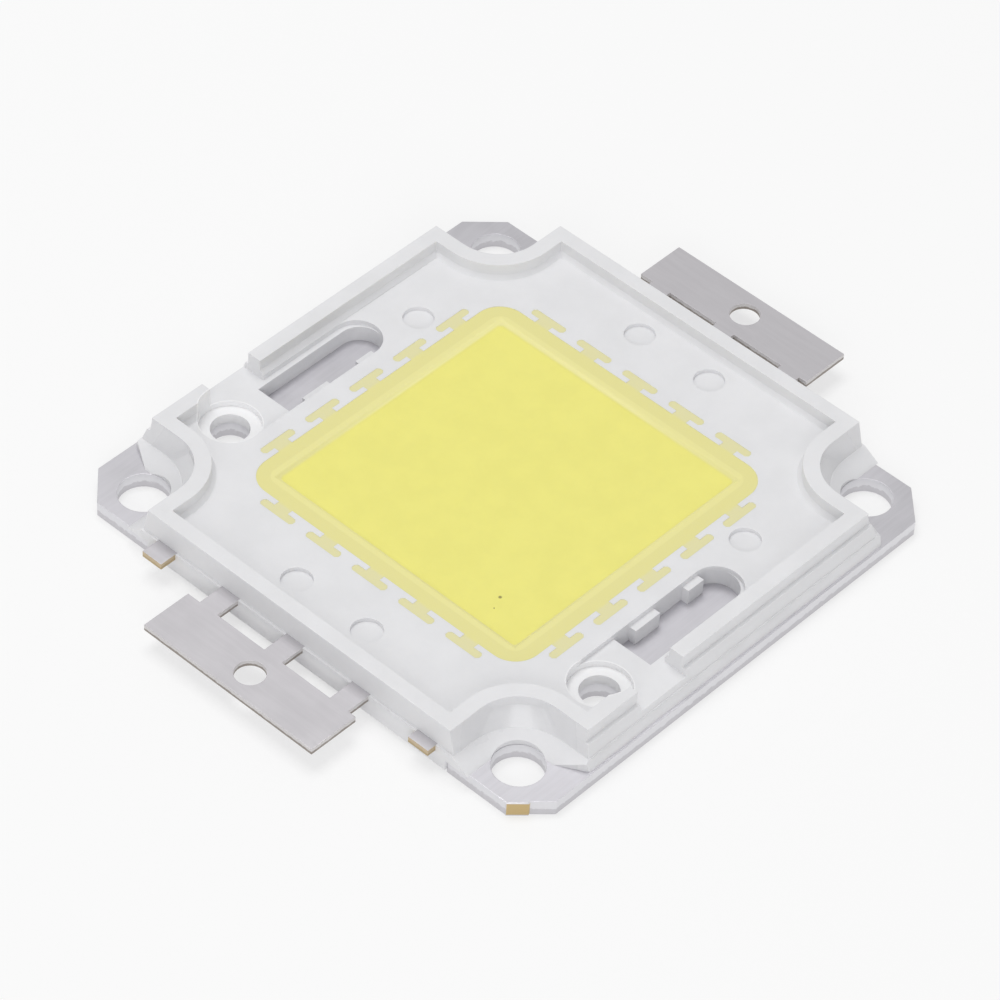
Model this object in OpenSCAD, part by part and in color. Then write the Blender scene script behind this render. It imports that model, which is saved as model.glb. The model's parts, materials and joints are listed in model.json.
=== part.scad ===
// High-power chip-on-board LED module: a plated copper base plate with a white
// moulded frame, a stamped lead frame set in the moulding, ten strings of dice
// with their bond wires, and a phosphor-filled silicone over them.
// +X points to the positive terminal, +Z up, origin at the middle of the underside.

/* [Base plate] */
// length of the base plate along X, across the terminals
plate_x = 40; // [37:0.5:44]
// width of the base plate along Y
plate_y = 41.9; // [41.2:0.1:44]
// thickness of the base plate
plate_t = 1.2; // [1:0.1:2]
// leg of the chamfer on each plate corner
plate_chamfer = 2.3; // [1:0.1:2.8]
// distance of the corner holes from the terminal edges of the plate
hole_edge_x = 2.85; // [2.7:0.05:3.2]
// distance of the corner holes from the long edges of the plate
hole_edge_y = 3.8; // [3.65:0.05:4.15]
// diameter of the corner holes
corner_bore = 3.56; // [3:0.02:3.8]
// how far the plate is waisted on each terminal side, under the frame skirt
waist_inset = 0.6; // [0.4:0.1:1]
// length of the sheared tie-bar end on one chamfer
shear_len = 1.5; // [1:0.1:1.8]
// how far the sheared tie-bar end stands out
shear_out = 0.12; // [0.05:0.01:0.2]

/* [Moulded frame] */
// how far the plate stands out beyond the rim on the long sides
plate_margin = 1.1; // [1:0.05:1.4]
// height of the mould parting line above the plate
part_h = 0.8; // [0.7:0.05:1.1]
// height of the frame floor above the parting line
floor_h = 0.85; // [0.75:0.05:1.2]
// height of the rim above the frame floor
rim_h = 1.15; // [0.7:0.05:1.6]
// width of the rim
rim_w = 1.15; // [0.9:0.05:1.2]
// slope that joins the rim to the floor
rim_foot = 0.3; // [0.1:0.05:0.3]
// depth of the filled ledge and of the side pockets below the floor
ledge_drop = 0.4; // [0.25:0.05:0.5]
// how far the lower flange stands out beyond the rim on the terminal sides
flange_x_out = 0.2; // [0.1:0.05:0.4]
// how far the lower flange stands out beyond the rim on the long sides, at the plate
flange_y_out = 0.9; // [0.6:0.05:1]
// height of the shoulder above the parting line on the long sides
shoulder_h = 0.95; // [0.6:0.05:1.2]
// width of the shoulder on the long sides
shoulder_w = 0.25; // [0.1:0.05:0.35]
// height of the skirt edge above the plate underside
skirt_gap = 0.35; // [0.2:0.05:0.6]
// length of the skirt on each terminal side
skirt_len = 27.2; // [26:0.2:28]

/* [Corner cut-outs] */
// distance of the upright wall of each cut-out from the hole axis
notch_wall = 3.4; // [3.2:0.05:3.6]
// corner radius of the drafted cut-out at the top of the rim
notch_r_top = 2.25; // [2:0.05:2.4]
// corner radius of the drafted cut-out at the parting line
notch_r_part = 4; // [3.8:0.05:4.2]
// corner radius of the cut-out at the plate
notch_r_plate = 2.63; // [2.4:0.01:2.8]
// how far the drafted walls lean in between the top and the parting line
notch_lean = 0.48; // [0.3:0.02:0.6]
// how far the drafted walls would pass the upright ones at the top
notch_lip = 0.05; // [0.02:0.01:0.1]
// step between the two mould halves inside each cut-out
part_step = 0.05; // [0.03:0.01:0.1]
// how far the foot of a cut-out turns out towards the long edge
foot_turn = 1.2; // [0.8:0.05:1.3]
// how far beyond the hole axis the foot starts to turn out
foot_run = 1.5; // [1:0.1:2]
// air between the corner holes and the moulding at the plate
bore_air = 0.05; // [0.02:0.01:0.1]

/* [Well and ledge] */
// inside of the well round the dice
well_size = 22.6; // [22.2:0.1:23.2]
// radius of the well corners
well_r = 1.5; // [1:0.1:2]
// outside of the filled ledge
ledge_size = 24.9; // [24.4:0.1:25.2]
// radius of the ledge corners
ledge_r = 2; // [1.5:0.1:2.4]
// number of anchor teeth on each side
tooth_n = 5; // [3:1:5]
// distance between neighbouring teeth
tooth_pitch = 4.24; // [4:0.02:4.4]
// width of a tooth neck
tooth_neck = 1.25; // [0.9:0.05:1.6]
// length of a tooth bar
tooth_bar = 3; // [2.4:0.1:3.2]
// gap between the ledge and a tooth bar
tooth_gap = 0.42; // [0.3:0.02:0.5]
// width of a tooth bar
tooth_w = 0.62; // [0.5:0.02:0.7]
// corner chamfer of a tooth bar
tooth_ch = 0.18; // [0.1:0.02:0.2]

/* [Side pockets] */
// distance of the counterbored holes from the Y axis
cbore_x = 9.3; // [9.2:0.1:9.8]
// distance of the counterbored holes from the long edges of the plate
cbore_edge = 4.05; // [3.95:0.05:4.15]
// diameter of the counterbores
cbore_d = 4.4; // [4:0.1:4.6]
// diameter of the screw holes through the module
screw_d = 2.76; // [2.2:0.02:3]
// where each pocket ends, on the positive side
pocket_end = 4.3; // [4:0.1:5]
// distance between the outer pocket wall and the inside of the rim
pocket_rim_gap = 0.35; // [0.32:0.01:0.5]
// where each window starts, on the negative side
window_start = 5.6; // [5.2:0.1:6]
// width of the step between the outer pocket wall and the window
window_step = 0.4; // [0.35:0.05:0.9]
// where the opening in the rim starts, measured like the pocket
gap_start = 9.05; // [8.6:0.05:9.2]
// where the opening in the rim ends
gap_end = 4.7; // [4.4:0.05:5.2]
// depth of the stop lugs on the inner window edge
lug_w = 0.57; // [0.3:0.02:0.8]

/* [Ejector marks] */
// diameter of the ejector marks
mark_d = 2.2; // [1.6:0.1:2.4]
// depth of the ejector marks
mark_depth = 0.3; // [0.1:0.05:0.4]
// distance of the ejector marks on the terminal sides from the rim
mark_rim_gap = 2.15; // [1.6:0.05:2.6]
// distance of the ejector marks on the long sides from the rim
mark_long_gap = 3.7; // [3.2:0.05:3.8]

/* [Lead frame] */
// thickness of the lead frame strip
lead_t = 0.5; // [0.3:0.05:0.55]
// reach of the terminals beyond the rim
tab_reach = 6.05; // [5.4:0.05:8]
// width of the terminal tab along X
tab_w = 4; // [3.4:0.1:4.4]
// reach of the terminal tab towards +Y
tab_up = 7.85; // [7.4:0.05:8.4]
// reach of the terminal tab towards -Y
tab_down = 7.45; // [7.2:0.05:8.4]
// diameter of the terminal hole
tab_hole = 2.16; // [1.5:0.02:2.6]
// distance of the terminal hole from the tip of the terminal
tab_hole_in = 1.9; // [1.6:0.05:2.2]
// width of each of the three legs
leg_w = 1.65; // [1.2:0.05:2]
// distance between neighbouring legs
leg_pitch = 5.95; // [5.4:0.05:6.4]
// how deep the legs are held in the moulding before they widen
leg_grip = 1; // [0.7:0.1:1.4]
// how far the bond bar reaches into the well
bar_reach = 0.9; // [0.5:0.05:1.1]
// gap between the ends of the bond bar and the sides of the well
bar_end_gap = 0.9; // [0.6:0.05:1.3]
// diameter of the resin locking holes in the lead frame
lock_d = 2; // [1.4:0.1:2.6]
// width of a sheared tie-bar stub
stub_w = 1.75; // [1.2:0.05:2.2]
// distance of the tie-bar stubs from the corner holes
stub_in = 5.3; // [5.15:0.05:5.55]
// how deep the tie-bar stubs are held in the moulding
stub_grip = 2.2; // [1.6:0.1:3]
// how far the longest tie-bar stub stands out of the flange
stub_out = 1.3; // [0.7:0.05:1.6]
// how much shorter the other three tie-bar stubs are
stub_cut = 0.6; // [0.2:0.05:0.65]

/* [Dice and wires] */
// side of a square die
die_w = 1.14; // [0.8:0.02:1.3]
// thickness of a die
die_t = 0.15; // [0.1:0.01:0.25]
// gap between the last die of a string and the bond bar
die_bar_gap = 0.6; // [0.4:0.05:1]
// thickness of a bond wire
wire_d = 0.08; // [0.06:0.01:0.12]
// rise of a bond wire above the die
wire_rise = 0.4; // [0.25:0.05:0.5]

/* [Phosphor filling] */
// how far the filling lies below the frame floor
fill_dip = 0.03; // [0.02:0.01:0.15]
// depth of the shallow dish over the dice
dish_depth = 0.24; // [0.1:0.02:0.26]
// distance of the dish floor from the side of the well
dish_inset = 0.62; // [0.5:0.02:0.9]
// width of the slope round the dish
dish_slope = 0.3; // [0.2:0.02:0.45]

/* [Hidden] */
$fn = 48;
e = 0.01;
over = 6;
frame_x = plate_x;
frame_y = plate_y - 2 * plate_margin;
part_z = plate_t + part_h;
floor_z = part_z + floor_h;
rim_z = floor_z + rim_h;
ledge_z = floor_z - ledge_drop;
fill_z = floor_z - fill_dip;
lead_z = part_z - lead_t;
flange_x = frame_x / 2 + flange_x_out;
flange_y = frame_y / 2 + flange_y_out;
shoulder_y = frame_y / 2 + shoulder_w;
shoulder_z = part_z + shoulder_h;
part_y = shoulder_y + 0.3;
waist_x = plate_x / 2 - waist_inset;
hole_x = plate_x / 2 - hole_edge_x;
hole_y = plate_y / 2 - hole_edge_y;
rim_in_x = frame_x / 2 - rim_w;
rim_in_y = frame_y / 2 - rim_w;
notch_mid = notch_lean + notch_r_part - notch_wall - notch_lip;
floor_r = notch_wall + rim_w;
floor_x = hole_x - floor_r;
floor_y = hole_y - floor_r;
foot_w = min(rim_foot, rim_h / 2);
pocket_out = rim_in_y - pocket_rim_gap;
window_out = pocket_out - window_step;
cbore_y = plate_y / 2 - cbore_edge;
pocket_in = cbore_y - cbore_d / 2;
pocket_r = (pocket_out - pocket_in) / 2;
window_r = (window_out - pocket_in) / 2;
shelf_x = well_size / 2 - bar_reach - 0.1;
bar_x = well_size / 2 - bar_reach;
bar_root = well_size / 2 + 0.9;
lead_root = frame_x / 2 - leg_grip;
lead_tip = frame_x / 2 + tab_reach;
tab_hole_x = lead_tip - tab_hole_in;
body_half = leg_pitch + leg_w / 2 + 0.6;
tab_in = lead_tip - tab_w;
stub_root = frame_x / 2 - stub_grip;
stub_y = hole_y - stub_in;
die_z = plate_t + die_t;
die_n = 10;
die_half = (die_n - 1) / 2;
die_pitch = (bar_x - die_bar_gap - die_w / 2) / die_half;
bar_len = well_size - 2 * bar_end_gap;
dish_half = well_size / 2 - dish_inset;
mark_side_x = rim_in_x - mark_rim_gap;
mark_side_y = 3.2;
mark_long_x = 7;
mark_long_y = rim_in_y - mark_long_gap;
lug_spans = [[-4.05, -1.7], [1.1, 2.6]];

// ---- shared helpers ----

// the four mirror images of what is drawn in the +X +Y quarter
module quarters() {
    for (i = [0, 1], j = [0, 1])
        mirror([i, 0, 0]) mirror([0, j, 0]) children();
}

// the two mirror images across the X axis
module both_long_sides() {
    for (j = [0, 1]) mirror([0, j, 0]) children();
}

// the two mirror images across the Y axis
module both_terminal_sides() {
    for (i = [0, 1]) mirror([i, 0, 0]) children();
}

// a square with rounded corners, made of true arcs
module round_square(size, r) {
    square([size, size - 2 * r], center = true);
    square([size - 2 * r, size], center = true);
    for (i = [-1, 1], j = [-1, 1])
        translate([i * (size / 2 - r), j * (size / 2 - r)]) circle(r = r);
}

// prism along X of a profile given as [y, z] points
module along_x(x0, x1, profile) {
    translate([x0, 0, 0]) rotate([90, 0, 90])
        linear_extrude(x1 - x0) polygon(profile);
}

// prism along Y of a profile given as [x, z] points
module along_y(y0, y1, profile) {
    translate([0, y1, 0]) rotate([90, 0, 0])
        linear_extrude(y1 - y0) polygon(profile);
}

// ---- base plate ----

module corner_bores(z0, z1) {
    quarters() translate([hole_x, hole_y, z0]) cylinder(h = z1 - z0, d = corner_bore);
}

module screw_bores(z0, z1) {
    both_long_sides() translate([-cbore_x, cbore_y, z0])
        cylinder(h = z1 - z0, d = screw_d);
}

// end of the strip tie bar, sheared off along one chamfer
module sheared_end() {
    mid = [plate_x / 2 - plate_chamfer / 2, plate_y / 2 - plate_chamfer / 2];
    side = plate_chamfer * sqrt(2) / 2 - 0.05 - shear_len / 2;
    translate([-mid[0], -mid[1], 0]) rotate([0, 0, -45])
        translate([-side, 0, plate_t / 2])
            cube([shear_len, 2 * shear_out, plate_t], center = true);
}

module base_plate() {
    a = plate_x / 2;
    b = plate_y / 2;
    c = plate_chamfer;
    w = skirt_len / 2;
    color([0.66, 0.65, 0.66]) {
        difference() {
            linear_extrude(plate_t) polygon([
                [-a + c, -b], [a - c, -b], [a, -b + c], [a, -w], [waist_x, -w],
                [waist_x, w], [a, w], [a, b - c], [a - c, b], [-a + c, b],
                [-a, b - c], [-a, w], [-waist_x, w], [-waist_x, -w], [-a, -w],
                [-a, -b + c]]);
            corner_bores(-1, plate_t + 1);
            screw_bores(-1, plate_t + 1);
        }
        sheared_end();
    }
}

// ---- moulded frame ----

// plan of a corner cut-out about its hole axis: a round apex and two straight arms
module notch_plan(mid, r) {
    translate([mid, mid]) circle(r = r);
    translate([mid - r, mid]) square([over - mid + r, over - mid]);
    translate([mid, mid - r]) square([over - mid, over - mid + r]);
}

// thin slice of the drafted cut-out at a height given as a share of the upper half
module draft_slice(share) {
    wall = (1 - share) * notch_lean - notch_wall - notch_lip;
    r = notch_r_part + share * (notch_r_top - notch_r_part);
    translate([0, 0, part_z + share * (rim_z - part_z)]) linear_extrude(e)
        notch_plan(wall + r, r, $fn = 96);
}

// cut-out below the parting line, flaring from the plate up
module notch_foot() {
    c = notch_mid;
    r0 = notch_r_plate;
    r1 = notch_r_part - part_step;
    edge = flange_y - hole_y;
    section = [[c - r0, plate_t], [over, plate_t], [over, part_z], [c - r1, part_z]];
    translate([c, c, plate_t]) cylinder(h = part_h, r1 = r0, r2 = r1);
    along_x(c, over, section);
    along_y(c, over, section);
    translate([0, 0, plate_t]) linear_extrude(part_h) polygon([[c - r0, foot_run],
        [c - r0 - foot_turn, edge], [c - r0 - foot_turn, over], [c, over], [c, foot_run]]);
}

module corner_notches() {
    quarters() translate([hole_x, hole_y, 0]) {
        intersection() {
            hull() {
                draft_slice(-0.1);
                draft_slice(1.1);
            }
            translate([0, 0, part_z]) linear_extrude(rim_z - part_z + 1)
                notch_plan(0, notch_wall);
        }
        notch_foot();
        translate([0, 0, plate_t - 1]) cylinder(h = part_h + 2, r = corner_bore / 2 + bore_air);
    }
}

// floor inside the rim: a cross whose inner corners follow the cut-outs
module floor_plan() {
    square([2 * rim_in_x, 2 * floor_y], center = true);
    square([2 * floor_x, 2 * rim_in_y], center = true);
    quarters() difference() {
        translate([floor_x - 1, floor_y - 1]) square(floor_r + 1);
        translate([hole_x, hole_y]) circle(r = floor_r);
    }
}

// sloped foot where the rim meets the floor
module rim_feet() {
    f = foot_w;
    quarters() {
        along_y(0, floor_y + e, [[rim_in_x - f, floor_z], [rim_in_x + e, floor_z],
            [rim_in_x + e, floor_z + f], [rim_in_x, floor_z + f]]);
        along_x(0, floor_x + e, [[rim_in_y - f, floor_z], [rim_in_y + e, floor_z],
            [rim_in_y + e, floor_z + f], [rim_in_y, floor_z + f]]);
        translate([hole_x, hole_y, floor_z]) intersection() {
            cylinder(h = f, r1 = floor_r + f, r2 = floor_r);
            translate([-over - 1, -over - 1, 0]) cube([over + 1, over + 1, f]);
        }
        along_x(hole_x - e, rim_in_x + e, [[floor_y - f, floor_z], [hole_y, floor_z],
            [hole_y, floor_z + f], [floor_y, floor_z + f]]);
        along_y(hole_y - e, rim_in_y + e, [[floor_x - f, floor_z], [hole_x, floor_z],
            [hole_x, floor_z + f], [floor_x, floor_z + f]]);
    }
}

// one anchor tooth on the +Y side of the ledge, drawn about its own middle
module tooth() {
    y0 = ledge_size / 2 - 0.5;
    y1 = ledge_size / 2 + tooth_gap;
    y2 = y1 + tooth_w;
    n = tooth_neck / 2;
    b = tooth_bar / 2;
    c = tooth_ch;
    polygon([[-n, y0], [n, y0], [n, y1], [b - c, y1], [b, y1 + c], [b, y2 - c],
        [b - c, y2], [-b + c, y2], [-b, y2 - c], [-b, y1 + c], [-b + c, y1], [-n, y1]]);
}

module ledge_plan() {
    round_square(ledge_size, ledge_r);
    for (turn = [0 : 90 : 270], k = [0 : tooth_n - 1])
        rotate(turn) translate([(k - (tooth_n - 1) / 2) * tooth_pitch, 0]) tooth();
}

// the hollow that the filling and the dice lie in
module well_hollow(top) {
    translate([0, 0, lead_z]) linear_extrude(top - lead_z)
        round_square(well_size, well_r);
    translate([0, 0, plate_t]) linear_extrude(lead_z - plate_t + e) intersection() {
        round_square(well_size, well_r);
        square([2 * shelf_x, well_size + 1], center = true);
    }
    translate([0, 0, ledge_z]) linear_extrude(top - ledge_z) ledge_plan();
}

module pocket_plan() {
    translate([-cbore_x, pocket_in])
        square([cbore_x + pocket_end - pocket_r, 2 * pocket_r]);
    translate([pocket_end - pocket_r, pocket_in + pocket_r]) circle(r = pocket_r);
    translate([-gap_start, pocket_in + pocket_r])
        square([gap_start - gap_end, over]);
}

module window_plan() {
    translate([-window_start, pocket_in])
        square([window_start + pocket_end - 0.06 - window_r, 2 * window_r]);
    translate([pocket_end - 0.06 - window_r, pocket_in + window_r])
        circle(r = window_r);
}

module side_pockets() {
    both_long_sides() {
        translate([0, 0, ledge_z]) linear_extrude(rim_z - ledge_z + 1) pocket_plan();
        difference() {
            translate([0, 0, plate_t - e]) linear_extrude(ledge_z - plate_t + 2 * e)
                window_plan();
            for (s = lug_spans)
                translate([s[0], pocket_in - e, plate_t - 2 * e])
                    cube([s[1] - s[0], lug_w + e, ledge_z - plate_t + 2 * e]);
        }
        translate([-cbore_x, cbore_y, part_z])
            cylinder(h = rim_z - part_z + 1, d = cbore_d);
    }
    screw_bores(-1, rim_z + 1);
}

module ejector_marks() {
    depth = min(mark_depth, ledge_drop);
    quarters() translate([mark_side_x, mark_side_y, floor_z - depth])
        cylinder(h = depth + 1, d = mark_d);
    both_long_sides() translate([mark_long_x, mark_long_y, floor_z - depth])
        cylinder(h = depth + 1, d = mark_d);
}

module frame_block() {
    y0 = frame_y / 2;
    along_x(-frame_x / 2, frame_x / 2, [[-part_y, part_z], [part_y, part_z],
        [shoulder_y, shoulder_z], [y0, shoulder_z], [y0, rim_z], [-y0, rim_z],
        [-y0, shoulder_z], [-shoulder_y, shoulder_z]]);
    along_x(-flange_x, flange_x, [[-flange_y, plate_t], [flange_y, plate_t],
        [part_y + 0.05, part_z], [-part_y - 0.05, part_z]]);
    both_terminal_sides() translate([waist_x, -skirt_len / 2, skirt_gap])
        cube([flange_x - waist_x, skirt_len, plate_t - skirt_gap + e]);
}

module frame() {
    color([0.93, 0.93, 0.94]) difference() {
        union() {
            difference() {
                frame_block();
                translate([0, 0, floor_z]) linear_extrude(rim_h + 1) floor_plan();
            }
            rim_feet();
        }
        well_hollow(rim_z + 1);
        side_pockets();
        ejector_marks();
        corner_notches();
        both_terminal_sides() lead_blank();
        both_terminal_sides() both_long_sides() stub_blank(stub_out);
    }
}

// ---- lead frame ----

// terminal on the +X side: tab, three legs, resin-locked body and bond bar
module lead_blank() {
    translate([0, 0, lead_z]) linear_extrude(lead_t) difference() {
        union() {
            translate([tab_in, -tab_down]) square([tab_w, tab_up + tab_down]);
            for (k = [-1 : 1])
                translate([lead_root - e, k * leg_pitch - leg_w / 2])
                    square([tab_in - lead_root + 2 * e, leg_w]);
            translate([bar_root - e, -body_half])
                square([lead_root - bar_root + e, 2 * body_half]);
            translate([bar_x, -bar_len / 2]) square([bar_root - bar_x, bar_len]);
        }
        for (j = [-1, 1]) translate([(bar_root + lead_root) / 2, j * leg_pitch / 2])
            circle(d = lock_d);
        translate([tab_hole_x, 0]) circle(d = tab_hole);
    }
}

module lead_positive() {
    color([0.70, 0.69, 0.71]) lead_blank();
}

module lead_negative() {
    color([0.70, 0.69, 0.71]) mirror([1, 0, 0]) lead_blank();
}

// cut end of a lead frame tie bar, +X +Y quarter
module stub_blank(out) {
    translate([stub_root, stub_y - stub_w / 2, lead_z])
        cube([flange_x + out - stub_root, stub_w, lead_t]);
}

module tie_stub(i, j, out) {
    color([0.72, 0.68, 0.60]) mirror([i, 0, 0]) mirror([0, j, 0]) stub_blank(out);
}

// ---- dice, wires and filling ----

module die_string(k) {
    y = (k - 1 - die_half) * die_pitch;
    color([0.35, 0.55, 0.80])
        for (i = [0 : die_n - 1])
            translate([(i - die_half) * die_pitch - die_w / 2, y - die_w / 2, plate_t])
                cube([die_w, die_w, die_t]);
}

// wire loop over a gap between two pads at one height, [x, z] profile
function loop_profile(x0, x1, z0, z1, top) =
    let (w = wire_d, s = (x1 - x0) / 4)
    [[x0, z0], [x0 + s, top], [x1 - s, top], [x1, z1], [x1 - 1.3 * w, z1],
     [x1 - s - 0.7 * w, top - w], [x0 + s + 0.7 * w, top - w], [x0 + 1.3 * w, z0]];

module bond_wires(k) {
    y = (k - 1 - die_half) * die_pitch;
    pad = die_w * 0.3;
    top = die_z + wire_rise;
    end = die_half * die_pitch;
    color([0.85, 0.68, 0.30]) {
        for (i = [0 : die_n - 2]) {
            x = (i - die_half) * die_pitch;
            along_y(y - wire_d / 2, y + wire_d / 2,
                loop_profile(x + pad, x + die_pitch - pad, die_z, die_z, top));
        }
        both_terminal_sides() along_y(y - wire_d / 2, y + wire_d / 2,
            loop_profile(end + pad, bar_x + 0.6 * bar_reach, die_z, part_z,
                part_z + 0.6 * wire_rise));
    }
}

// shallow dish with sloped sides that the cured filling settles into
module dish() {
    a = dish_half;
    b = dish_half + dish_slope * (1 + 1 / dish_depth);
    z0 = fill_z - dish_depth;
    z1 = fill_z + 1;
    section = [[-a, z0], [a, z0], [b, z1], [-b, z1]];
    intersection() {
        along_x(-b, b, section);
        along_y(-b, b, section);
    }
}

module filling() {
    color([0.94, 0.88, 0.32]) difference() {
        well_hollow(fill_z);
        dish();
        both_terminal_sides() lead_blank();
        for (k = [1 : die_n]) {
            die_string(k);
            bond_wires(k);
        }
    }
}

base_plate();
frame();
lead_positive();
lead_negative();
tie_stub(1, 0, stub_out);  // tie_stub_1
tie_stub(1, 1, stub_out - stub_cut);  // tie_stub_2
tie_stub(0, 0, stub_out - stub_cut);  // tie_stub_3
tie_stub(0, 1, stub_out - stub_cut);  // tie_stub_4
filling();
die_string(1);  // die_string_1
die_string(2);  // die_string_2
die_string(3);  // die_string_3
die_string(4);  // die_string_4
die_string(5);  // die_string_5
die_string(6);  // die_string_6
die_string(7);  // die_string_7
die_string(8);  // die_string_8
die_string(9);  // die_string_9
die_string(10);  // die_string_10
bond_wires(1);  // bond_wires_1
bond_wires(2);  // bond_wires_2
bond_wires(3);  // bond_wires_3
bond_wires(4);  // bond_wires_4
bond_wires(5);  // bond_wires_5
bond_wires(6);  // bond_wires_6
bond_wires(7);  // bond_wires_7
bond_wires(8);  // bond_wires_8
bond_wires(9);  // bond_wires_9
bond_wires(10);  // bond_wires_10
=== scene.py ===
"""Looks of a chip-on-board LED module: moulding, plating, lead frame and phosphor filling."""

import json
import math

import bmesh
import bpy
from mathutils import Matrix, Vector


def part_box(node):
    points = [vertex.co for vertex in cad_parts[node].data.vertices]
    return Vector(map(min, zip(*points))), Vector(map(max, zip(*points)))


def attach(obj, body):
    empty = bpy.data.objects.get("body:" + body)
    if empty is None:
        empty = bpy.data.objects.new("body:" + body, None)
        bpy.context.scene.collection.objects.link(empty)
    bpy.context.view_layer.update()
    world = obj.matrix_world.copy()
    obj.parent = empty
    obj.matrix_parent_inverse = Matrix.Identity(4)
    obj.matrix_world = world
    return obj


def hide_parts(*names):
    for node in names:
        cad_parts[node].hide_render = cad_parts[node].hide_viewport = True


bl_info = {
    "name": "Chip-on-board LED module",
    "version": (1, 0, 0),
    "blender": (4, 5, 0),
    "location": "View3D > Sidebar > LED Module",
    "description": "Dresses the packed LED module with moulded, plated and filled surfaces",
    "category": "Object",
}

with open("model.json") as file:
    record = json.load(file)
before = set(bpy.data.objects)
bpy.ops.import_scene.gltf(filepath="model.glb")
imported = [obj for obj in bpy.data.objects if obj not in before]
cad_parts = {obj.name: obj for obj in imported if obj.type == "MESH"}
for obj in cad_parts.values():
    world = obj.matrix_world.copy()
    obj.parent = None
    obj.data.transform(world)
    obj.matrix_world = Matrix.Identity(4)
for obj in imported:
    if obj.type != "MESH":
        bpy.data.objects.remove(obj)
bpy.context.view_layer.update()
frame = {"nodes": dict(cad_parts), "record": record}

MM = 0.001
STRINGS = range(1, 11)
STUBS = range(1, 5)
DICE = 10

# Edges that bend less than the first angle stay unrounded; faces that meet at less than the
# second become one; vertices nearer than WELD become one.
SMOOTH_BELOW = math.radians(28)
FLAT_BELOW = math.radians(0.4)
WELD = 0.0005 * MM

# Bond pads of a die: how far out from its middle, as a share of its width, and their height.
PAD_OUT = 0.3
PAD_HEIGHT = 0.004 * MM

# Half width, corner radius and softness of the filling's zones, in millimetres.
DEEP_ZONE = (10.75, 0.35, 0.22)
# The middle zone is paler thin filling at the well's edge, plus a painted highlight on its slope.
RIDGE_AND_HIGHLIGHT_ZONE = (11.43, 0.9, 0.14)
LEDGE_ZONE = (12.47, 2.0, 0.3)

# Place and radius of the dark specks in the filling, in millimetres.
SPECKS = (((-8.2, -7.05), 0.13), ((-9.2, -7.45), 0.06))

# Sheared end of the plate: its middle from the plate's -X -Y corner and its half size, in
# millimetres, and its turn about Z.
SHEARED_END_PLACE = (0.62, 1.68, 0.6)
SHEARED_END_HALF = (0.74, 0.16, 0.5)
SHEARED_END_TURN = math.radians(-45)

# Lead strip farther out along Y than this is a cut tie bar, in millimetres.
TIE_BARS_FROM = 10.0

# Place, width and height of each lamp, in metres.
KEY_LAMP = ((0.02, 0.10, 0.45), 0.30, 0.22)
FILL_LAMP = ((-0.34, -0.30, 0.21), 0.34, 0.22)


# ---- sizes and colours that a user would change ----


def length_prop(name, description, millimetres, low=0.0, high=50.0):
    """A length in metres, given here in millimetres."""
    return bpy.props.FloatProperty(
        name=name,
        description=description,
        default=millimetres * MM,
        min=low * MM,
        max=high * MM,
        unit="LENGTH",
        precision=5,
    )


def colour_prop(name, description, red, green, blue):
    """A colour in linear light."""
    return bpy.props.FloatVectorProperty(
        name=name,
        description=description,
        subtype="COLOR",
        size=3,
        min=0.0,
        max=1.0,
        default=(red, green, blue),
    )


def angle_prop(name, description, degrees):
    """An angle, given here in degrees."""
    return bpy.props.FloatProperty(
        name=name, description=description, subtype="ANGLE", default=math.radians(degrees)
    )


class ModuleSizes(bpy.types.PropertyGroup):
    """Small sizes that only the looks need."""

    mould_edge: length_prop("Moulded edge", "Radius of the moulding's edges", 0.045)
    corner_reach: length_prop("Corner reach", "Zone round a corner hole that stays crisp", 3.9)
    plate_edge: length_prop("Plate edge", "Radius of the base plate's edges", 0.05)
    strip_edge: length_prop("Strip edge", "Rolled-over edge of the lead strip", 0.035)
    filling_edge: length_prop("Filling edge", "Soft edge at the rim of the dish", 0.1)
    dish: length_prop("Dish", "Half width of the dish over the dice, at its rim", 10.98)
    wire: length_prop("Wire", "Diameter of a bond wire", 0.05)
    loop_rise: length_prop("Loop rise", "Height of a wire loop over its die", 0.3)
    die_pad: length_prop("Die pad", "Diameter of the bond pads on a die", 0.14)
    flash_height: length_prop("Flash height", "Thickness of the parting-line flash", 0.05)
    flash_reach: length_prop("Flash reach", "How far the flash stands out", 0.1)
    flash_end: length_prop("Flash end", "From the flash's end to the corner hole's middle", 3.2)
    flash_root: length_prop("Flash root", "From the flash's middle out to the frame's side", 0.33)


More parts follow.
